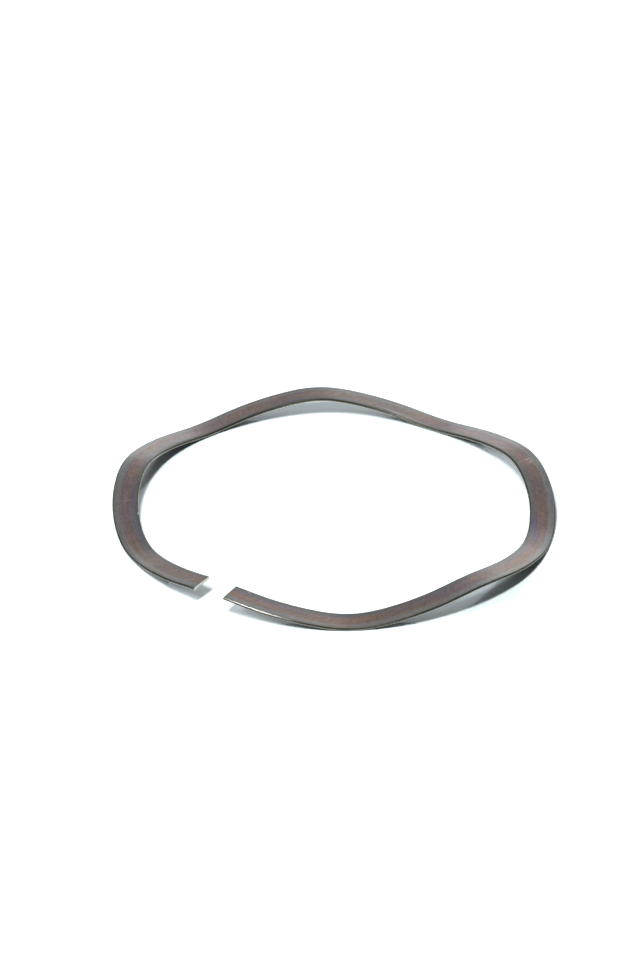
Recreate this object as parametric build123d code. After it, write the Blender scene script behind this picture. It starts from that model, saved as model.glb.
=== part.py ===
from build123d import *
from math import cos, degrees, radians, sin
import os

# Gap-type wave spring washer: one turn of flat spring-steel wire, coiled on edge,
# pressed into waves and cut off at both ends.
# Millimetres. +Z is up and is the axis of the ring. The origin lies on that axis,
# on the surface that the troughs stand on. The split crest points towards -Y.

# ---- driving dimensions -------------------------------------------------------
outer_diameter = 100.0    # over the rolled outer edge
radial_wall = 5.85        # width of the wire, from bore to rim
thickness = 0.65          # thickness of the wire
edge_crown = 0.14         # how far the wire's two rolled edges bulge

wave_count = 5            # crests round the turn, the split one included
free_height = 4.9         # unloaded height, over the outer edges of crests and troughs
crest_sharpness = 0.05    # 0 is a pure cosine wave; more makes crests tighter, flanks straighter

end_gap = 7.5             # opening between the cut ends, along the middle of the wall
gap_offset = 1.2          # middle of the opening, clockwise from the middle of its crest
right_end_drop = 0.5      # how much lower the half wave beside the right-hand end is formed
left_end_drop = 0.3       # the same beside the left-hand end
left_end_lean = 0.3       # how far the cutter has bent the rim down at the left-hand end
lean_start = 27.0         # degrees before that end where the lean begins
lean_full = 8.0           # degrees before it where the lean is complete

points_per_wave = 12      # places where the wave is worked out

# ---- what follows from them ---------------------------------------------------
outer_radius = outer_diameter / 2
mid_radius = outer_radius - radial_wall / 2
inner_radius = outer_radius - radial_wall
flat_face_width = radial_wall - 2 * edge_crown
contact_radius = mid_radius + flat_face_width / 2
half_rise = (free_height - thickness) / 2 * mid_radius / contact_radius
wave_angle = 360 / wave_count
split_crest_angle = -90.0
right_end_angle = degrees((end_gap / 2 - gap_offset) / mid_radius)
left_end_angle = 360 - degrees((end_gap / 2 + gap_offset) / mid_radius)


def wave(angle):
    """Wave of unit height, 1 on the crests and -1 in the troughs, at degrees past the split crest."""
    phase = radians(wave_count * angle)
    return (cos(phase) + crest_sharpness * cos(3 * phase)) / (1 + crest_sharpness)


def end_drop(angle):
    """How far the wire lies under the full wave: only the half waves beside the ends do."""
    if angle < wave_angle / 2:
        drop = right_end_drop
    elif angle > 360 - wave_angle / 2:
        drop = left_end_drop
    else:
        drop = 0.0
    return drop * (wave(angle) + 1) / 2


def rim_lean(angle):
    """How far the rim is bent down beside the left-hand end, the bore edge staying where it is."""
    share = (lean_start - (left_end_angle - angle)) / (lean_start - lean_full)
    share = min(max(share, 0), 1)
    return left_end_lean * share**2 * (3 - 2 * share)


def wave_point(radius, angle):
    """Point on the wire's middle surface.

    The surface is bent, not stretched, so it is a cone over the wave: its straight lines
    all pass through one point on the axis, and the wave grows in step with the radius.
    """
    height = (half_rise * wave(angle) - end_drop(angle)) * radius / mid_radius
    height -= rim_lean(angle) * (radius - inner_radius) / radial_wall
    direction = radians(split_crest_angle + angle)
    return Vector(radius * cos(direction), radius * sin(direction), height)


def wave_line(radius):
    """Line of the wire's middle surface at one radius, from the right-hand end to the left."""
    span = left_end_angle - right_end_angle
    steps = round(points_per_wave * wave_count * span / 360)
    return Spline(*[wave_point(radius, right_end_angle + span * step / steps) for step in range(steps + 1)])


def wire_section(centre_line, rim_line):
    """Flat-wire section with rolled, bulging edges, square to the centre line and lying in the wall."""
    half_width = flat_face_width / 2
    half_thickness = thickness / 2
    top_face = Line((-half_width, half_thickness), (half_width, half_thickness))
    rim_edge = SagittaArc(top_face @ 1, (half_width, -half_thickness), edge_crown)
    underside = Line(rim_edge @ 1, (-half_width, -half_thickness))
    bore_edge = SagittaArc(underside @ 1, top_face @ 0, edge_crown)

    start = centre_line @ 0
    end_plane = Plane(origin=start, x_dir=rim_line @ 0 - start, z_dir=centre_line % 0)
    return end_plane * make_face(top_face + rim_edge + underside + bore_edge)


def wave_washer():
    """The whole washer, standing on its troughs."""
    centre_line = wave_line(mid_radius)
    rim_line = wave_line(outer_radius)
    wire = sweep(wire_section(centre_line, rim_line), path=centre_line, binormal=rim_line)
    return Pos(0, 0, -wire.bounding_box().min.Z) * wire


washer = wave_washer()
washer.label = "wave_washer"

os.makedirs("parts", exist_ok=True)
export_step(washer, "parts/wave_washer.step")
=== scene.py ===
"""Looks of a gap-type wave spring washer of heat-tinted spring steel, on a white table."""

import logging
import math
from dataclasses import dataclass
from functools import lru_cache
from typing import Optional, Union

import bmesh
import bpy
from mathutils import Matrix, Vector, noise


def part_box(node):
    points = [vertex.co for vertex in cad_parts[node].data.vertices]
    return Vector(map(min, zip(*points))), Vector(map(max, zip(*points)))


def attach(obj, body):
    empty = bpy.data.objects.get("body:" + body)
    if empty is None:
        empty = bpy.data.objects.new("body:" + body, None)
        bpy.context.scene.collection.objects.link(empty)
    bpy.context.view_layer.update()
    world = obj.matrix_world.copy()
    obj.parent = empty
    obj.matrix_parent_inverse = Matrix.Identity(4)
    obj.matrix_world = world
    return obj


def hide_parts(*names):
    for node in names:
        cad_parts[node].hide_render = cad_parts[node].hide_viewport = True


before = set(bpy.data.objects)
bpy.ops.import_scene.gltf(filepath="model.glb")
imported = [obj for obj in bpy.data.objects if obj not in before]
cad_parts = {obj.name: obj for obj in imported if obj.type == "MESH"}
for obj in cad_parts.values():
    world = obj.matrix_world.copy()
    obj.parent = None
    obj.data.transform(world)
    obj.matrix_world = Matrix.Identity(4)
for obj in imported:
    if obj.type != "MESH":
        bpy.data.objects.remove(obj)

Number = Union[float, int]
Colour = tuple[float, float, float, float]

MM = 0.001
NODE = "wave_washer"
BODY = "root"
BAKE_MAP = "OFBake"
PLACE_LAYER = "wire_place"
CUT_LAYER = "cut_face"
RIM_CLEARANCE = 0.005 * MM

log = logging.getLogger(NODE)
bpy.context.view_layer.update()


# ---------------------------------------------------------------- shader expressions


class Signal:
    """A value in a shader, which Python's operators build on."""

    def __init__(self, shader: "Shader", socket: bpy.types.NodeSocket) -> None:
        """Keeps the socket and the shader that it belongs to."""
        self.shader = shader
        self.socket = socket

    def __add__(self, other: "Value") -> "Signal":
        """The sum."""
        return self.shader.math("ADD", self, other)

    def __radd__(self, other: "Value") -> "Signal":
        """The sum, with the number first."""
        return self.shader.math("ADD", other, self)

    def __sub__(self, other: "Value") -> "Signal":
        """The difference."""
        return self.shader.math("SUBTRACT", self, other)

    def __rsub__(self, other: "Value") -> "Signal":
        """The difference, with the number first."""
        return self.shader.math("SUBTRACT", other, self)

    def __mul__(self, other: "Value") -> "Signal":
        """The product."""
        return self.shader.math("MULTIPLY", self, other)

    def __rmul__(self, other: "Value") -> "Signal":
        """The product, with the number first."""
        return self.shader.math("MULTIPLY", other, self)

    def __truediv__(self, other: "Value") -> "Signal":
        """The quotient."""
        return self.shader.math("DIVIDE", self, other)

    def __rtruediv__(self, other: "Value") -> "Signal":
        """The quotient, with the number first."""
        return self.shader.math("DIVIDE", other, self)


Value = Union[Signal, Number]


class Shader:
    """The node tree of one material, or of the world."""

    def __init__(self, tree: bpy.types.NodeTree) -> None:
        """Empties the tree, so that everything in it comes from this script."""
        self.tree = tree
        self.tree.nodes.clear()

    def node(
        self,
        kind: str,
        settings: Optional[dict[str, object]] = None,
        inputs: Optional[dict[Union[str, int], object]] = None,
    ) -> bpy.types.Node:
        """Adds a node.

        Args:
            kind: The node's type, such as "ShaderNodeTexNoise".
            settings: Its properties, and a ramp's stops under "stops". They are set first.
            inputs: Values or signals by the name or the number of a socket.

        Returns:
            The new node.
        """
        made = self.tree.nodes.new(kind)
        for name, value in (settings or {}).items():
            if name == "stops":
                self._set_stops(made.color_ramp, value)
            else:
                setattr(made, name, value)
        for name, value in (inputs or {}).items():
            if isinstance(value, Signal):
                self.tree.links.new(value.socket, made.inputs[name])
            else:
                made.inputs[name].default_value = value
        return made

    @staticmethod
    def _set_stops(ramp: bpy.types.ColorRamp, stops: list[tuple[float, Colour]]) -> None:
        """Gives a ramp its stops.

        Args:
            ramp: The ramp, which comes with two stops.
            stops: Places from 0 to 1, in order, and their colours.
        """
        while len(ramp.elements) < len(stops):
            ramp.elements.new(1.0)
        for element, (place, colour) in zip(ramp.elements, stops):
            element.position = place
            element.color = colour

    def out(self, made: bpy.types.Node, socket: Union[str, int] = 0) -> Signal:
        """A node's output as a signal."""
        return Signal(self, made.outputs[socket])

    def math(self, operation: str, first: Value, second: Value = 0.0) -> Signal:
        """Adds a Math node.

        Args:
            operation: What the node does with its two values.
            first: The first value.
            second: The second value.

        Returns:
            The result.
        """
        return self.out(self.node("ShaderNodeMath", {"operation": operation}, {0: first, 1: second}))

    def step(self, value: Value, start: float, end: float) -> Signal:
        """Adds a smooth step.

        Args:
            value: What is looked at.
            start: Where the result leaves 0.
            end: Where the result reaches 1. It may be below start.

        Returns:
            A value from 0 to 1.
        """
        settings = {"interpolation_type": "SMOOTHSTEP"}
        return self.out(self.node("ShaderNodeMapRange", settings, {0: value, 1: start, 2: end}))

    def bump_at(self, value: Value, centre: float, spread: float) -> Signal:
        """Adds a bell curve.

        Args:
            value: What is looked at.
            centre: Where the result is 1.
            spread: How far from the centre the result falls to about a third.

        Returns:
            A value from 0 to 1.
        """
        offset = (value - centre) / spread
        return self.math("EXPONENT", -1.0 * offset * offset)

    def mix(self, factor: Value, first: object, second: object, how: str = "MIX") -> Signal:
        """Adds a mix of two colours.

        Args:
            factor: The share of the second colour.
            first: A colour or a signal.
            second: A colour or a signal.
            how: The blend type.

        Returns:
            The mixed colour.
        """
        settings = {"data_type": "RGBA", "blend_type": how, "clamp_factor": True}
        return self.out(self.node("ShaderNodeMix", settings, {0: factor, 6: first, 7: second}), 2)

    def noise(self, place: Signal, detail: float = 2.0, rough: float = 0.5) -> Signal:
        """Adds a noise of one lump in a unit of place.

        Args:
            place: Where it is read.
            detail: How many finer layers it has.
            rough: How strong the finer layers are.

        Returns:
            A value that swings about 0.
        """
        inputs = {"Vector": place, "Scale": 1.0, "Detail": detail, "Roughness": rough}
        return self.out(self.node("ShaderNodeTexNoise", {"noise_dimensions": "3D"}, inputs)) - 0.5

    def vector(self, x: Value, y: Value, z: Value) -> Signal:
        """Joins three values to a vector."""
        return self.out(self.node("ShaderNodeCombineXYZ", inputs={0: x, 1: y, 2: z}))


# ---------------------------------------------------------------- shape


@dataclass(frozen=True)
class FlatWire:
    """The flat wire with rolled edges that the ring is coiled from.

    Attributes:
        width: From the inner to the outer edge.
        thickness: From face to face.
        edge_crown: How far each edge bulges.
        corner_radius: The rounding between a face and an edge.
        face_steps: Divisions across a face.
        edge_steps: Divisions through the thickness.
        corner_steps: Divisions of a rounded corner.
    """

    width: float = 5.85 * MM
    thickness: float = 0.65 * MM
    edge_crown: float = 0.2 * MM
    corner_radius: float = 0.08 * MM
    face_steps: int = 18
    edge_steps: int = 8
    corner_steps: int = 3

    def bulge(self, above: float) -> float:
        """How far the crown of an edge stands out.

        Args:
            above: The height over the middle of the thickness.

        Returns:
            The distance from the chord of the crown.
        """
        half = self.thickness / 2
        radius = (half**2 + self.edge_crown**2) / (2 * self.edge_crown)
        return math.sqrt(max(radius**2 - above**2, 0.0)) - (radius - self.edge_crown)

    def draw(self, bm: bmesh.types.BMesh, inner_radius: float) -> list[bmesh.types.BMEdge]:
        """Draws the outline of the section in the XZ plane.

        Args:
            bm: The mesh to draw in.
            inner_radius: Where the inner edge is on X.

        Returns:
            The edges of the outline, a closed loop.
        """
        half = self.thickness / 2
        inner, outer = inner_radius + self.edge_crown, inner_radius + self.width - self.edge_crown
        rectangle = ((inner, 0, -half), (outer, 0, -half), (outer, 0, half), (inner, 0, half))
        corners = [bm.verts.new(at) for at in rectangle]
        bm.faces.new(corners)
        bmesh.ops.bevel(
            bm,
            geom=corners,
            offset=self.corner_radius,
            segments=self.corner_steps,
            profile=0.5,
            material=-1,
            affect="VERTICES",
        )
        bmesh.ops.delete(bm, geom=bm.faces[:], context="FACES_ONLY")
        across = [e for e in bm.edges if abs(e.verts[0].co.x - e.verts[1].co.x) > self.width / 2]
        through = [e for e in bm.edges if abs(e.verts[0].co.z - e.verts[1].co.z) > self.thickness / 2]
        bmesh.ops.subdivide_edges(bm, edges=across, cuts=self.face_steps - 1)
        bmesh.ops.subdivide_edges(bm, edges=through, cuts=self.edge_steps - 1)
        for vert in bm.verts:
            side = 1 if vert.co.x > inner_radius + self.width / 2 else -1
            vert.co.x += side * self.bulge(vert.co.z)
        return bm.edges[:]


@dataclass(frozen=True)
class WaveForm:
    """The waves that the ring is pressed into, and where its two ends are.

    A turn is an angle in radians, anticlockwise from the crest that is split.

    Attributes:
        wire: The wire.
        outer_radius: Half the outer diameter.
        free_height: From the table to the top of the crests.
        count: How many waves there are.
        sharpness: The share of the third harmonic, which makes crests and troughs rounder.
        end_gap: The opening between the ends.
        gap_offset: How far the opening lies off the crest.
        right_drop: How far the end on the right of the opening sits below a whole crest.
        left_drop: How far the end on its left does.
        left_lean: How far the rim is bent down at the end on the left.
        lean_start: How far before that end the lean begins, as an angle.
        lean_full: How far before it the lean is complete.
    """

    wire: FlatWire
    outer_radius: float
    free_height: float
    count: int = 5
    sharpness: float = 0.05
    end_gap: float = 7.5 * MM
    gap_offset: float = 1.2 * MM
    right_drop: float = 0.5 * MM
    left_drop: float = 0.3 * MM
    left_lean: float = 0.3 * MM
    lean_start: float = math.radians(27)
    lean_full: float = math.radians(8)

    @property
    def inner_radius(self) -> float:
        """Half the bore."""
        return self.outer_radius - self.wire.width

    @property
    def mid_radius(self) -> float:
        """The radius of the middle of the wire."""
        return self.outer_radius - self.wire.width / 2

    @property
    def first_turn(self) -> float:
        """Where the end on the right of the opening is."""
        return (self.end_gap / 2 - self.gap_offset) / self.mid_radius

    @property
    def last_turn(self) -> float:
        """Where the end on the left of the opening is."""
        return 2 * math.pi - (self.end_gap / 2 + self.gap_offset) / self.mid_radius

    @property
    def length(self) -> float:
        """The length of the wire, measured along its middle."""
        return (self.last_turn - self.first_turn) * self.mid_radius

    def rise(self, turn: float) -> float:
        """How far the middle of the wire is above the middle of the ring's height.

        Args:
            turn: The angle from the split crest.

        Returns:
            The rise at the middle radius.
        """
        phase = self.count * turn
        wave = (math.cos(phase) + self.sharpness * math.cos(3 * phase)) / (1 + self.sharpness)
        contact_radius = self.outer_radius - self.wire.edge_crown
        half_rise = (self.free_height - self.wire.thickness) / 2 * self.mid_radius / contact_radius
        half_wave = math.pi / self.count
        drop = 0.0
        if turn < half_wave:
            drop = self.right_drop
        if turn > 2 * math.pi - half_wave:
            drop = self.left_drop
        return half_rise * wave - drop * (wave + 1) / 2

    def lean(self, turn: float) -> float:
        """How far the rim is bent down beside the left end, the inner edge staying where it is.

        Args:
            turn: The angle from the split crest.

        Returns:
            The drop of the outer edge.
        """
        share = (turn - (self.last_turn - self.lean_start)) / (self.lean_start - self.lean_full)
        share = min(max(share, 0.0), 1.0)
        return self.left_lean * share**2 * (3 - 2 * share)

    @lru_cache(maxsize=None)
    def station(self, turn: float) -> Matrix:
        """Where a section of the wire is carried.

        Args:
            turn: The angle from the split crest.

        Returns:
            The matrix whose X runs outwards across the face, Y along the wire and Z out of
            the face, in the inner edge's own place.
        """
        small = 1e-4
        angle = turn - math.pi / 2
        outward = Vector((math.cos(angle), math.sin(angle), 0))
        along = Vector((-math.sin(angle), math.cos(angle), 0))
        rise = self.rise(turn) / self.mid_radius
        slope = (self.rise(turn + small) - self.rise(turn - small)) / (2 * small) / self.mid_radius
        tilt = rise - self.lean(turn) / self.wire.width
        across = outward + Vector((0, 0, tilt))
        normal = (Vector((0, 0, 1)) - outward * tilt - along * slope).normalized()
        start = outward * self.inner_radius + Vector((0, 0, self.free_height / 2 + rise * self.inner_radius))
        return Matrix.Translation(start) @ Matrix((across, along, normal)).transposed().to_4x4()


@dataclass(frozen=True)
class Handling:
    """What shearing and handling did to the wire.

    Attributes:
        nick_along: How far the nick in the inner edge is from the right end.
        nick_half: Half the length of the nick.
        nick_depth: How deep it is.
        reach: How far from the sheared left end it is out of true.
        skew: How far the outer corner stands out there, past the inner one.
        burr: How far the burr under the outer corner hangs down.
        burr_from: The share of the width where the burr starts.
        burr_above: How much of it the upper face follows.
        rag_scale: How many lumps there are in a metre of the burr's ragged edge.
        rag_mean: The middle of its depth, as a share of the burr.
    """

    nick_along: float = 251.6 * MM
    nick_half: float = 0.7 * MM
    nick_depth: float = 0.3 * MM
    reach: float = 1.1 * MM
    skew: float = 0.4 * MM
    burr: float = 0.25 * MM
    burr_from: float = 0.86
    burr_above: float = 0.3
    rag_scale: float = 4000.0
    rag_mean: float = 0.7

    def moved(self, wire: FlatWire, length: float, along: float, across: float, above: float) -> Vector:
        """Where a point of the sound wire ends up.

        Args:
            wire: The wire.
            length: How long it is.
            along: The point's place along it.
            across: Its place across it.
            above: Its height over the middle of the thickness.

        Returns:
            The new place along, across and above.
        """
        bell = math.exp(-(((along - self.nick_along) / self.nick_half) ** 2))
        across = max(across, self.nick_depth * bell)
        near = max(0.0, 1 - (length - along) / self.reach)
        ragged = self.rag_mean + noise.noise(Vector((along, across, 0)) * self.rag_scale)
        rim = max(0.0, (across / wire.width - self.burr_from) / (1 - self.burr_from))
        under = 1.0 if above < 0 else self.burr_above
        along += self.skew * near * across / wire.width
        return Vector((along, across, above - self.burr * near * rim * ragged * under))


@dataclass
class WaveWasher:
    """The washer: one turn of flat wire, waved and cut, with its marks of handling.

    Attributes:
        form: The waves.
        handling: What happened to it.
        ring_step: The arc between two sections of the mesh.
        end_step: The same, near the ends.
        end_arc: How far from an end the short steps go.
        bake_rows: How many rows the skin is laid out in.
        bake_margin: The gap between two rows.
        turn_digits: How far an angle is rounded, so that a section's points share one station.
    """

    form: WaveForm
    handling: Handling = Handling()
    ring_step: float = 0.3 * MM
    end_step: float = 0.08 * MM
    end_arc: float = 3.0 * MM
    bake_rows: int = 5
    bake_margin: float = 0.6 * MM
    turn_digits: int = 6

    def stretches(self) -> list[tuple[float, int]]:
        """Splits the turn into a fine, a plain and a fine stretch.

        Returns:
            The angle of each stretch and its number of steps.
        """
        fine = self.end_arc / self.form.mid_radius
        plain = self.form.last_turn - self.form.first_turn - 2 * fine
        fine_steps = round(self.end_arc / self.end_step)
        plain_steps = round(plain * self.form.mid_radius / self.ring_step)
        return [(fine, fine_steps), (plain, plain_steps), (fine, fine_steps)]

    def unroll(self, bm: bmesh.types.BMesh) -> None:
        """Unrolls the skin of the wire into rows of a square, for the bake.

        The seam is the middle of the inner edge, and the two cut faces lie beside the rows.

        Args:
            bm: The mesh, with its places along the wire, across it and above its middle.
        """
        place = bm.verts.layers.float_vector[PLACE_LAYER]
        cut_face = bm.faces.layers.float[CUT_LAYER]
        sheet = bm.loops.layers.uv.new(BAKE_MAP)
        wire, margin = self.form.wire, self.bake_margin / MM
        half, width, length = wire.thickness / MM / 2, wire.width / MM, self.form.length / MM
        face_run = width + 2 * half
        row_length, row_height = length / self.bake_rows, 2 * face_run + margin
        square = row_height * self.bake_rows
        for face in bm.faces:
            spots = [loop.vert[place] for loop in face.loops]
            along = sum(spot.x for spot in spots) / len(spots)
            upper = sum(spot.z for spot in spots) > 0
            row = min(int(along / row_length), self.bake_rows - 1)
            for loop, spot in zip(face.loops, spots):
                if face[cut_face] > 0:
                    at = Vector((row_length + 2 * margin + spot.y, (2 + 2 * row) * half * 2 + spot.z))
                else:
                    side = 1 if spot.y > width / 2 else -1
                    run = half + spot.y + side * (half - abs(spot.z))
                    at = Vector((margin + spot.x - row * row_length, row * row_height + margin / 2))
                    at.y += run if upper else 2 * face_run - run
                loop[sheet].uv = at / square

    def build(self) -> bpy.types.Object:
        """Builds the washer's mesh.

        Returns:
            The new object.
        """
        form = self.form
        bm = bmesh.new()
        cut_face = bm.faces.layers.float.new(CUT_LAYER)
        bm.verts.layers.float_vector.new(PLACE_LAYER)
        loop = form.wire.draw(bm, form.inner_radius)
        turn_to_start = Matrix.Rotation(form.first_turn - math.pi / 2, 4, "Z")
        bmesh.ops.transform(bm, matrix=turn_to_start, verts=bm.verts[:])
        geom = loop + bm.verts[:]
        for angle, steps in self.stretches():
            spun = bmesh.ops.spin(
                bm,
                geom=geom,
                cent=(0, 0, 0),
                axis=(0, 0, 1),
                dvec=(0, 0, 0),
                angle=angle,
                steps=steps,
                use_merge=False,
                use_normal_flip=False,
                use_duplicate=False,
            )
            geom = spun["geom_last"]
        last_loop = [g for g in geom if isinstance(g, bmesh.types.BMEdge)]
        caps = [bmesh.ops.contextual_create(bm, geom=edges)["faces"][0] for edges in (loop, last_loop)]
        for cap in caps:
            cap[cut_face] = 1.0
        self.wave(bm)
        self.unroll(bm)
        bmesh.ops.recalc_face_normals(bm, faces=bm.faces[:])
        for face in bm.faces:
            face.smooth = True
        for cap in caps:
            cap.smooth = False
            for edge in cap.edges:
                edge.smooth = False
        mesh = bpy.data.meshes.new("waved_wire")
        bm.to_mesh(mesh)
        bm.free()
        piece = bpy.data.objects.new("waved_wire", mesh)
        bpy.context.scene.collection.objects.link(piece)
        return piece

    def wave(self, bm: bmesh.types.BMesh) -> None:
        """Notes each point's place on the wire, then presses the waves and adds the handling.

        Args:
            bm: The mesh of the flat ring.
        """
        form = self.form
        wire_place = bm.verts.layers.float_vector[PLACE_LAYER]
        for vert in bm.verts:
            x, y, above = vert.co
            turn = round(math.atan2(-x, y) + math.pi, self.turn_digits)
            across = math.hypot(x, y) - form.inner_radius
            along = (turn - form.first_turn) * form.mid_radius
            vert[wire_place] = Vector((along, across, above)) / MM
            along, across, above = self.handling.moved(form.wire, form.length, along, across, above)
            turn = round(form.first_turn + along / form.mid_radius, self.turn_digits + 1)
            vert.co = form.station(turn) @ Vector((across, 0, above))


# ---------------------------------------------------------------- finish


@dataclass(frozen=True)
class Mark:
    """A soft spot or a stroke on the upper face.

    Attributes:
        along: How far its middle is from the right end, in millimetres along the wire.
        across: How far it is from the inner edge, in millimetres.
        length: Its half length.
        width: Its half width.
        lean: How far its length is turned from the wire's direction, in degrees.
        strength: How much of it shows, at most 1.
    """

    along: float
    across: float
    length: float
    width: float
    lean: float
    strength: float


@dataclass(frozen=True)
class Layer:
    """A noise that is laid along the wire.

    Attributes:
        along: How many lumps it has in a millimetre along the wire.
        across: How many it has across it.
        lean: How far a step across moves it along.
        twist: How far a step along moves it across.
        start: How far it is moved along.
        depth: How far it is moved into its own depth, so that two layers differ.
        detail: How many finer layers it has.
        rough: How strong the finer layers are.
        strength: How much it changes the brightness.
        in_band: How much more it does so in the brown band.
    """

    along: float
    across: float
    lean: float = 0.0
    twist: float = 0.0
    start: float = 0.0
    depth: float = 0.0
    detail: float = 2.0
    rough: float = 0.5
    strength: float = 0.0
    in_band: float = 0.0


@dataclass(frozen=True)
class HeatTint:
    """The finish of the steel: oxide that is brown along the middle and grey along the margins.

    Lengths are in millimetres, and shares are of the wire's width, from the inner edge.

    Attributes:
        edge: The colour of the rolled edges.
        painted_table_reflection: The colour of a painted reflection of the white table on the lower half of
            the edges.
        inner_margin: The colour beside the inner edge.
        blue_line: The colour between that margin and the brown band.
        brown: The warmer colour of the band.
        mauve: The cooler colour of the band.
        outer_margin: The colour beside the outer edge.
        violet: The colour of the spots where the oxide is thickest.
        dark_patch: The colour of the darker patches.
        faded: The colour where the band is faint.
        scuffed: The colour where the oxide is rubbed thin.
        bare_steel_and_glint: The colour of the cut steel, and of the painted highlight on the outer corner
            near the right end.
        band: Where the band starts, is full, starts to end and has ended, as shares.
        margins: Where the inner margin's colour turns into the outer one's, as shares.
        blue_at: The middle and the half width of the blue line, as shares.
        pale_at: The same for a pale and speckled line in the outer margin.
        wander: How far the borders wander, as a share.
        upper: Where the upper face's own marks start and are full, over the wire's middle.
        rolled_inner: Where the inner edge's own colour starts and is full, from that edge.
        rolled_outer: The same, from the outer edge.
        painted_reflection: Where the painted reflection of the table on the edges starts and where it is
            full, over the wire's middle.
        bright_end: How far from the right end the painted highlight on the outer corner reaches.
        bright_fade: How far before that the brightness starts to fade.
        bright_rim: Where that corner starts and is full, from the outer edge.
        bright_top: The same, over the wire's middle.
        bright: How strong the painted highlight is there.
        painted_inner_reflection: Where a painted reflection of the white table on the inner edge starts and
            where it is full, then where that starts to end and has ended, at the nick.
        inner_reflection_rim: Where that painted reflection starts and is full, from the inner edge.
        inner_reflection_top: The same, over the wire's middle.
        roughness: How matt the oxide is.
        coat: How much the oxide shines over the steel.
        metal: How metallic the oxide is.
        relief: How high the grain stands.
        ragged: The noise of the borders.
        warm: The noise that mixes the band's two colours.
        streaks: The long streaks of the rolling.
        mottle: The soft blotches.
        strokes: The slanting strokes on the band.
        grain: The grain of the oxide.
        fine: The fine slanting scratches.
        warmth: The noise of the red.
        chill: The noise of the blue.
        drift: The slow change from red to blue.
        violet_spots: Where it is violet.
        dark_patches: Where the face is darker.
        faded_spots: Where the band is faint.
        worn_lines: Where it is worn through to the steel.
        scuffs: Where it is rubbed.
    """

    edge: Colour = (0.1, 0.095, 0.077, 1)
    painted_table_reflection: Colour = (0.38, 0.355, 0.3, 1)
    inner_margin: Colour = (0.125, 0.118, 0.104, 1)
    blue_line: Colour = (0.145, 0.143, 0.166, 1)
    brown: Colour = (0.202, 0.137, 0.11, 1)
    mauve: Colour = (0.178, 0.132, 0.14, 1)
    outer_margin: Colour = (0.18, 0.176, 0.17, 1)
    violet: Colour = (0.125, 0.112, 0.225, 1)
    dark_patch: Colour = (0.058, 0.056, 0.038, 1)
    faded: Colour = (0.165, 0.158, 0.148, 1)
    scuffed: Colour = (0.5, 0.385, 0.365, 1)
    bare_steel_and_glint: Colour = (0.66, 0.63, 0.58, 1)
    band: tuple[float, float, float, float] = (0.17, 0.36, 0.64, 0.76)
    margins: tuple[float, float] = (0.45, 0.7)
    blue_at: tuple[float, float] = (0.2, 0.07)
    pale_at: tuple[float, float] = (0.79, 0.045)
    wander: float = 0.1
    upper: tuple[float, float] = (0.1, 0.2)
    rolled_inner: tuple[float, float] = (0.45, 0.15)
    rolled_outer: tuple[float, float] = (0.35, 0.1)
    painted_reflection: tuple[float, float] = (0.02, -0.12)
    bright_end: float = 17.0
    bright_fade: float = 8.0
    bright_rim: tuple[float, float] = (0.19, 0.12)
    bright_top: tuple[float, float] = (0.08, 0.14)
    bright: float = 0.75
    painted_inner_reflection: tuple[float, float, float, float] = (218.0, 228.0, 251.2, 252.0)
    inner_reflection_rim: tuple[float, float] = (0.5, 0.35)
    inner_reflection_top: tuple[float, float] = (0.27, 0.19)
    roughness: float = 0.45
    coat: float = 0.4
    metal: float = 0.7
    relief: float = 0.02 * MM
    ragged: Layer = Layer(0.45, 0.7, detail=4.0, rough=0.6)
    warm: Layer = Layer(0.05, 0.4, start=9.0, detail=3.0)
    streaks: Layer = Layer(0.1, 2.6, detail=5.0, rough=0.65, strength=0.85, in_band=0.3)
    mottle: Layer = Layer(0.8, 0.9, detail=3.0, rough=0.55, strength=0.5)
    strokes: Layer = Layer(1.3, 0.35, lean=0.9, twist=-0.15, in_band=0.7)
    grain: Layer = Layer(3.0, 3.5, strength=0.5)
    fine: Layer = Layer(1.8, 3.2, lean=-0.8, detail=3.0, rough=0.6, strength=0.5)
    warmth: Layer = Layer(0.5, 1.2, depth=20.0, detail=4.0, rough=0.6)
    chill: Layer = Layer(0.4, 1.3, depth=40.0, detail=4.0, rough=0.6)
    drift: Layer = Layer(0.09, 0.35, depth=60.0, detail=1.0)
    violet_spots: tuple[Mark, ...] = (
        Mark(248.0, 1.45, 4.5, 0.4, 0, 0.35),
        Mark(261.5, 0.9, 3.0, 0.4, 0, 0.3),
        Mark(53.8, 2.2, 1.6, 0.8, 0, 0.25),
        Mark(48.0, 2.8, 7.0, 1.2, 0, 0.2),
        Mark(91.5, 1.2, 2.6, 0.45, 3, 0.85),
        Mark(86.8, 1.8, 2.2, 0.4, -4, 0.7),
        Mark(60.0, 1.3, 2.5, 0.35, 0, 0.35),
        Mark(281.0, 1.2, 4.0, 0.4, 0, 0.3),
    )
    dark_patches: tuple[Mark, ...] = (
        Mark(213.0, 0.45, 12.0, 0.6, 0, 0.85),
        Mark(190.0, 0.2, 15.0, 0.25, 0, 0.6),
        Mark(40.0, 2.7, 13.0, 1.7, 0, 0.2),
        Mark(160.0, 2.9, 11.0, 1.6, 0, 0.08),
        Mark(120.5, 2.9, 4.5, 1.7, 0, 0.2),
        Mark(276.0, 1.6, 12.0, 2.4, 0, 0.27),
        Mark(15.0, 0.6, 12.0, 0.8, 0, 0.22),
        Mark(133.0, 0.35, 9.0, 0.45, 0, 0.5),
        Mark(71.0, 3.8, 5.0, 2.2, 0, 0.1),
        Mark(214.0, 4.6, 14.0, 1.2, 0, 0.1),
        Mark(168.0, 0.3, 12.0, 0.4, 0, 0.5),
        Mark(101.0, 2.6, 7.0, 1.5, 0, 0.2),
        Mark(256.0, 4.8, 6.0, 0.5, 0, 0.12),
        Mark(98.0, 4.9, 5.0, 0.45, 0, 0.1),
    )
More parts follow.
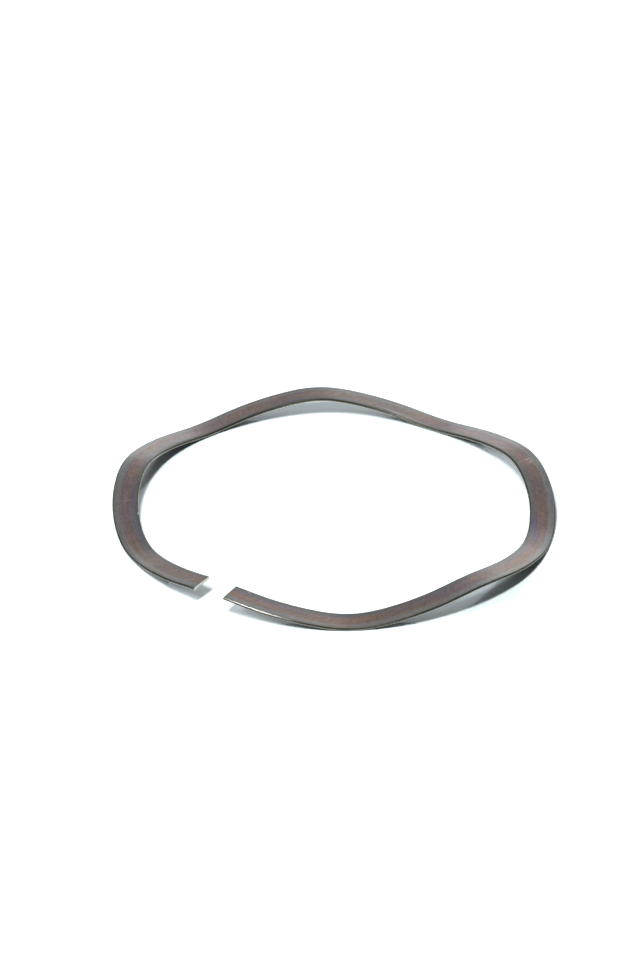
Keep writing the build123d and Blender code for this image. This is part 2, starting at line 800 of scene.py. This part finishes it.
    faded_spots: tuple[Mark, ...] = (
        Mark(105.0, 0.5, 12.0, 0.7, 0, 0.8),
        Mark(160.0, 2.9, 11.0, 1.6, 0, 0.5),
    )
    worn_lines: tuple[Mark, ...] = (
        Mark(151.5, 0.8, 6.5, 0.25, 3.6, 0.3),
        Mark(156.4, 1.1, 1.3, 0.2, 3.6, 0.4),
    )
    scuffs: tuple[Mark, ...] = (
        Mark(247.0, 2.45, 0.9, 0.12, 76, 0.6),
        Mark(244.6, 2.3, 0.7, 0.1, 70, 0.35),
        Mark(114.2, 1.4, 0.8, 0.16, 60, 0.5),
        Mark(114.7, 3.3, 0.8, 0.34, 80, 0.7),
        Mark(113.5, 3.6, 0.6, 0.38, 60, 0.75),
        Mark(174.5, 2.8, 3.2, 1.3, 0, 0.13),
        Mark(3.8, 0.7, 0.3, 0.2, 0, 0.8),
        Mark(68.5, 0.8, 1.1, 0.1, 55, 0.3),
    )

    def material(self, wire: FlatWire) -> bpy.types.Material:
        """Makes the material.

        Args:
            wire: The wire, for the places of the bands.

        Returns:
            The new material.
        """
        made = bpy.data.materials.new("heat_tinted_spring_steel")
        made.use_nodes = True
        TintedSkin(Shader(made.node_tree), self, wire.width / MM).paint()
        return made


class TintedSkin:
    """The nodes of the heat tint, on the wire's own places."""

    def __init__(self, shader: Shader, tint: HeatTint, width: float) -> None:
        """Reads the places and lays the noises that several parts of the skin share.

        Args:
            shader: The shader to build in.
            tint: The finish.
            width: The wire's width, in millimetres.
        """
        self.sh, self.tint, self.width = shader, tint, width
        place = shader.node("ShaderNodeAttribute", {"attribute_name": PLACE_LAYER})
        parts = shader.node("ShaderNodeSeparateXYZ", inputs={0: shader.out(place, "Vector")})
        self.along, self.across, self.above = (shader.out(parts, socket) for socket in range(3))
        self.side = self.above * 0.35
        self.ragged = self.layer(tint.ragged)
        slow = shader.noise(shader.vector(self.along * 0.035, self.side, 3.7))
        self.share = self.across / width + slow * tint.wander + self.ragged * tint.wander
        start, full, ending, end = tint.band
        self.band = shader.step(self.share, start, full) * shader.step(self.share, end, ending)
        self.streaks = self.layer(tint.streaks)
        self.mottle = self.layer(tint.mottle)
        self.grain = self.layer(tint.grain)
        self.darkening = self.spots(tint.dark_patches)

    def layer(self, layer: Layer) -> Signal:
        """Lays a noise.

        Args:
            layer: The noise.

        Returns:
            A value that swings about 0.
        """
        along, across, depth = self.along * layer.along, self.across * layer.across, self.side
        if layer.lean:
            along = along + self.across * layer.lean
        if layer.start:
            along = along + layer.start
        if layer.twist:
            across = across + self.along * layer.twist
        if layer.depth:
            depth = depth + layer.depth
        return self.sh.noise(self.sh.vector(along, across, depth), layer.detail, layer.rough)

    def from_rim(self, distances: tuple[float, float]) -> tuple[float, float]:
        """Turns two distances from the outer edge into places across the wire."""
        return self.width - distances[0], self.width - distances[1]

    def spots(self, marks: tuple[Mark, ...]) -> Signal:
        """Adds up soft marks.

        Args:
            marks: The marks.

        Returns:
            How much of a mark shows.
        """
        total: Value = 0.0
        for mark in marks:
            turn = math.radians(mark.lean)
            offset, rise = self.along - mark.along, self.across - mark.across
            lengthwise = (offset * math.cos(turn) + rise * math.sin(turn)) / mark.length
            sideways = (rise * math.cos(turn) - offset * math.sin(turn)) / mark.width
            bell = self.sh.math("EXPONENT", -1.0 * (lengthwise * lengthwise + sideways * sideways))
            total = bell * mark.strength + total
        return total

    def oxide(self) -> Signal:
        """Lays the bands and the spots of the oxide.

        Returns:
            The colour, without its grain.
        """
        sh, tint = self.sh, self.tint
        outer = sh.step(self.share, *tint.margins)
        colour = sh.mix(outer, tint.inner_margin, tint.outer_margin)
        colour = sh.mix(sh.bump_at(self.share, *tint.blue_at) * 0.8, colour, tint.blue_line)
        brown = sh.mix(sh.step(self.layer(tint.warm), -0.1, 0.1), tint.mauve, tint.brown)
        colour = sh.mix(self.band, colour, brown)
        colour = sh.mix(self.spots(tint.faded_spots), colour, tint.faded)
        colour = sh.mix(self.spots(tint.violet_spots), colour, tint.violet)
        return sh.mix(self.darkening, colour, tint.dark_patch)

    def shade(self) -> Signal:
        """Adds up the noises that make the grain.

        Returns:
            The brightness, which swings about 1.
        """
        sh, tint = self.sh, self.tint
        total: Value = 1.0
        for layer, swing in (
            (tint.streaks, self.streaks),
            (tint.mottle, self.mottle),
            (tint.strokes, self.layer(tint.strokes)),
            (tint.grain, self.grain),
            (tint.fine, self.layer(tint.fine)),
        ):
            weight: Value = self.band * layer.in_band + layer.strength if layer.in_band else layer.strength
            total = swing * weight + total
        specks = sh.step(sh.noise(sh.vector(self.along * 2.2, self.across * 2.6, 5.0), detail=1.0), 0.1, 0.2)
        return total + sh.bump_at(self.share, *tint.pale_at) * (specks * 0.4 + 0.1)

    def grained(self, colour: Signal) -> Signal:
        """Lays the grain over a colour, with its changes of hue.

        Args:
            colour: The colour of the oxide.

        Returns:
            The colour with its grain.
        """
        shade = self.shade()
        warmth, chill = self.layer(self.tint.warmth), self.layer(self.tint.chill)
        drift = self.layer(self.tint.drift)
        red = shade * (1.0 + warmth * 0.65 + drift * 0.45)
        blue = shade * (1.0 + chill * 0.6 - drift * 0.4)
        return self.sh.mix(1.0, colour, self.sh.vector(red, shade, blue), "MULTIPLY")

    def scuffed(self, colour: Signal) -> Signal:
        """Rubs the upper face.

        Args:
            colour: The colour of the sound face.

        Returns:
            The colour with its scuffs.
        """
        sh, tint = self.sh, self.tint
        upper = sh.step(self.above, *tint.upper)
        rubbed = self.spots(tint.scuffs) * upper
        colour = sh.mix(rubbed * (0.7 + self.streaks), colour, tint.scuffed)
        worn = self.spots(tint.worn_lines) * upper
        return sh.mix(worn * (0.8 + self.grain), colour, tint.bare_steel_and_glint)

    def edged(self, colour: Signal, rolled: Signal) -> Signal:
        """Colours the rolled edges, with a painted reflection of the table on their lower parts and a
        painted highlight on the outer corner near the right end.

        Args:
            colour: The colour of the faces.
            rolled: Where the edges are.

        Returns:
            The colour with its edges.
        """
        sh, tint = self.sh, self.tint
        fade = tint.bright_end - tint.bright_fade
        # Where the painted highlight on the outer top corner shows, fading out from the right end.
        painted_glint = sh.step(self.along + self.ragged * 6.0, tint.bright_end, fade)
        # Painted reflection of the white table on the lower half of both rolled edges, left out under the
        # painted highlight.
        painted_reflection = sh.step(self.above + self.ragged * 0.2, *tint.painted_reflection) * (1.0 - painted_glint)
        # Painted reflection of the white table on the lower part of the inner edge, ending at the nick.
        start, full, ending, end = tint.painted_inner_reflection
        painted_inner_reflection = sh.step(self.along, start, full) * sh.step(self.along, end, ending)
        painted_inner_reflection = painted_inner_reflection * sh.step(self.across, *tint.inner_reflection_rim)
        painted_inner_reflection = painted_inner_reflection * sh.step(self.above + self.ragged * 0.15, *tint.inner_reflection_top)
        edge = sh.mix(sh.math("MAXIMUM", painted_reflection, painted_inner_reflection), tint.edge, tint.painted_table_reflection)
        colour = sh.mix(rolled, colour, edge)
        # Painted highlight of the lamp on the outer top corner, in the colour of bare steel.
        corner = painted_glint * sh.step(self.across, *self.from_rim(tint.bright_rim))
        corner = corner * sh.step(self.above, *tint.bright_top)
        return sh.mix(corner * tint.bright, colour, tint.bare_steel_and_glint)

    def paint(self) -> None:
        """Puts the skin together and gives it to the material."""
        sh, tint = self.sh, self.tint
        border = self.across + self.ragged * 0.2
        rolled = sh.step(border, *tint.rolled_inner) + sh.step(border, *self.from_rim(tint.rolled_outer))
        cut = sh.out(sh.node("ShaderNodeAttribute", {"attribute_name": CUT_LAYER}), "Fac")
        colour = self.edged(self.scuffed(self.grained(self.oxide())), rolled)
        rough = tint.roughness + self.streaks * 0.15 + self.grain * 0.12 - rolled * 0.12
        height = self.streaks + self.grain * 0.5 + self.mottle * 0.6
        bump = sh.node("ShaderNodeBump", inputs={"Strength": 0.2, "Distance": tint.relief, "Height": height})
        dull = sh.math("MAXIMUM", sh.math("MAXIMUM", cut, rolled), self.darkening)
        steel = sh.node(
            "ShaderNodeBsdfPrincipled",
            inputs={
                "Base Color": sh.mix(cut, colour, tint.bare_steel_and_glint),
                "Metallic": tint.metal + rolled * (1 - tint.metal),
                "Roughness": rough,
                "Coat Weight": tint.coat - dull * tint.coat,
                "Coat Roughness": 0.25,
                "Normal": sh.out(bump),
            },
        )
        sh.node("ShaderNodeOutputMaterial", inputs={0: sh.out(steel)})


# ---------------------------------------------------------------- studio


@dataclass(frozen=True)
class Lamp:
    """A soft lamp over the table.

    Attributes:
        name: What it is called.
        azimuth: Where it stands, in degrees to the right of straight behind the object.
        elevation: How high it stands, in degrees over the table.
        width: Its size from side to side.
        height: Its size the other way.
        strength: How bright its face is.
        mirrored: Whether the steel mirrors its face.
    """

    name: str
    azimuth: float
    elevation: float
    width: float
    height: float
    strength: float
    mirrored: bool = True


@dataclass(frozen=True)
class WhiteTable:
    """The finish of the table: white where it is seen or mirrored, and grey to all other light.

    Attributes:
        plain: Its colour to the light that it throws back at the object.
        white: Its colour where it is seen.
        near: How far from the middle it starts to fade to a white backdrop.
        far: Where it is all backdrop.
    """

    plain: Colour = (0.25, 0.25, 0.25, 1)
    white: Colour = (1.4, 1.57, 1.62, 1)
    near: float = 0.25
    far: float = 0.5

    def material(self) -> bpy.types.Material:
        """Makes the material.

        Returns:
            The new material.
        """
        made = bpy.data.materials.new("white_table")
        made.use_nodes = True
        sh = Shader(made.node_tree)
        path = sh.node("ShaderNodeLightPath")
        camera = sh.out(path, "Is Camera Ray")
        first = 1.0 - sh.out(path, "Diffuse Depth")
        mirrored = sh.math("MINIMUM", sh.out(path, "Is Glossy Ray"), first)
        plain = sh.node("ShaderNodeBsdfDiffuse", inputs={"Color": self.plain})
        white = sh.node("ShaderNodeBsdfDiffuse", inputs={"Color": self.white})
        seen = {0: sh.math("MAXIMUM", camera, mirrored), 1: sh.out(plain), 2: sh.out(white)}
        table = sh.node("ShaderNodeMixShader", inputs=seen)
        where = sh.node("ShaderNodeTexCoord")
        ruler = sh.node("ShaderNodeVectorMath", {"operation": "LENGTH"}, {0: sh.out(where, "Object")})
        reach = sh.step(sh.out(ruler, "Value"), self.near, self.far)
        blank = sh.node("ShaderNodeEmission", inputs={"Color": (1, 1, 1, 1), "Strength": 1.0})
        faded = {0: reach * camera, 1: sh.out(table), 2: sh.out(blank)}
        sh.node("ShaderNodeOutputMaterial", inputs={0: sh.out(sh.node("ShaderNodeMixShader", inputs=faded))})
        return made


@dataclass(frozen=True)
class Room:
    """The glow of the room.

    Attributes:
        low: Its colour at the height of the table.
        high: Its colour overhead.
    """

    low: Colour = (0.04, 0.043, 0.045, 1)
    high: Colour = (0.05, 0.053, 0.055, 1)

    def world(self) -> bpy.types.World:
        """Makes the world, which is white where the camera sees it.

        Returns:
            The new world.
        """
        made = bpy.data.worlds.new("room")
        made.use_nodes = True
        sh = Shader(made.node_tree)
        where = sh.node("ShaderNodeTexCoord")
        parts = sh.node("ShaderNodeSeparateXYZ", inputs={0: sh.out(where, "Generated")})
        stops = [(0.0, self.low), (1.0, self.high)]
        ramp = sh.node("ShaderNodeValToRGB", {"stops": stops}, {0: sh.out(parts, 2)})
        path = sh.node("ShaderNodeLightPath")
        shown = sh.mix(sh.out(path, "Is Camera Ray"), sh.out(ramp), (1, 1, 1, 1))
        glow = sh.node("ShaderNodeBackground", inputs={"Color": shown, "Strength": 1.0})
        sh.node("ShaderNodeOutputWorld", inputs={0: sh.out(glow)})
        return made


@dataclass(frozen=True)
class Studio:
    """The white table, the camera and the light.

    Attributes:
        aim: Where the camera looks, on the table.
        azimuth: The direction of the camera, in degrees anticlockwise from -Y.
        elevation: Its height in degrees over the table.
        roll: How far it is tipped.
        distance: From the camera to where it looks.
        lens: Its focal length, in millimetres on a 36 mm sensor.
        sight: The nearest and the farthest thing that it sees.
        lamp_distance: From the ring to each lamp.
        table_half: Half the width of the table.
        table: The table's finish.
        room: The room.
        lamps: The lamps.
    """

    aim: tuple[float, float] = (-10.17 * MM, 10.34 * MM)
    azimuth: float = 31.35
    elevation: float = 30.23
    roll: float = 1.1
    distance: float = 801.8 * MM
    lens: float = 130.99
    sight: tuple[float, float] = (0.01, 20.0)
    lamp_distance: float = 1.2
    table_half: float = 6.0
    table: WhiteTable = WhiteTable()
    room: Room = Room()
    lamps: tuple[Lamp, ...] = (
        Lamp("key_lamp", 212.0, 66.0, 0.16, 0.42, 43.0),
        Lamp("left_lamp", 250.0, 40.0, 0.26, 0.26, 14.0),
        Lamp("back_right_lamp", 18.0, 23.0, 0.05, 0.05, 384.0, mirrored=False),
        Lamp("back_low_lamp", 0.0, 12.0, 1.1, 0.26, 2.7),
        Lamp("back_middle_lamp", 17.0, 33.0, 0.4, 0.32, 1.9),
        Lamp("back_high_lamp", 2.0, 45.0, 1.1, 0.8, 0.58),
    )

    @staticmethod
    def direction(turn: float, tilt: float) -> Vector:
        """A direction from the middle of the table.

        Args:
            turn: The angle anticlockwise from -Y, in radians.
            tilt: The angle over the table, in radians.

        Returns:
            The unit vector.
        """
        return Vector((math.sin(turn) * math.cos(tilt), -math.cos(turn) * math.cos(tilt), math.sin(tilt)))

    def place_camera(self) -> None:
        """Makes the scene's camera."""
        turn = math.radians(self.azimuth)
        back = self.direction(turn, math.radians(self.elevation))
        right = Vector((math.cos(turn), math.sin(turn), 0))
        up = back.cross(right)
        spot = Vector((*self.aim, 0)) + back * self.distance
        upright = Matrix((right, up, back)).transposed().to_4x4()
        rolled = upright @ Matrix.Rotation(math.radians(self.roll), 4, "Z")
        camera = bpy.data.objects.new("camera", bpy.data.cameras.new("camera"))
        camera.data.lens = self.lens
        camera.data.clip_start, camera.data.clip_end = self.sight
        camera.matrix_world = Matrix.Translation(spot) @ rolled
        bpy.context.scene.collection.objects.link(camera)
        bpy.context.scene.camera = camera

    def lay_table(self) -> None:
        """Makes the table's top, which keeps the shadow."""
        mesh = bpy.data.meshes.new("floor")
        bm = bmesh.new()
        bmesh.ops.create_grid(bm, x_segments=1, y_segments=1, size=self.table_half)
        bm.to_mesh(mesh)
        bm.free()
        floor = bpy.data.objects.new("floor", mesh)
        bpy.context.scene.collection.objects.link(floor)
        mesh.materials.append(self.table.material())

    def light(self) -> None:
        """Makes the lamps and the glow of the room."""
        for lamp in self.lamps:
            data = bpy.data.lights.new(lamp.name, "AREA")
            data.shape = "RECTANGLE"
            data.size = lamp.width
            data.size_y = lamp.height
            data.energy = lamp.strength * math.pi * lamp.width * lamp.height
            turn = math.radians(self.azimuth + 180 - lamp.azimuth)
            out = self.direction(turn, math.radians(lamp.elevation))
            made = bpy.data.objects.new(lamp.name, data)
            made.location = out * self.lamp_distance
            made.rotation_euler = out.to_track_quat("Z", "Y").to_euler()
            made.visible_camera = False
            made.visible_glossy = lamp.mirrored
            bpy.context.scene.collection.objects.link(made)
        bpy.context.scene.world = self.room.world()
        bpy.context.scene.view_settings.view_transform = "Standard"


# ---------------------------------------------------------------- the job


def main() -> None:
    """Builds the washer and its studio, and reports each piece."""
    logging.basicConfig(level=logging.INFO, format="%(name)s: %(message)s")
    low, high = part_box(NODE)
    outer_radius = (high.x - low.x) / 2 - RIM_CLEARANCE
    form = WaveForm(FlatWire(), outer_radius=outer_radius, free_height=high.z - low.z)
    piece = WaveWasher(form).build()
    piece.data.materials.append(HeatTint().material(form.wire))
    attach(piece, BODY)
    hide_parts(NODE)
    log.info("%s: %d faces", piece.name, len(piece.data.polygons))
    studio = Studio()
    studio.lay_table()
    studio.place_camera()
    studio.light()
    log.info("studio: %d lamps", len(studio.lamps))


if __name__ == "__main__":
    main()
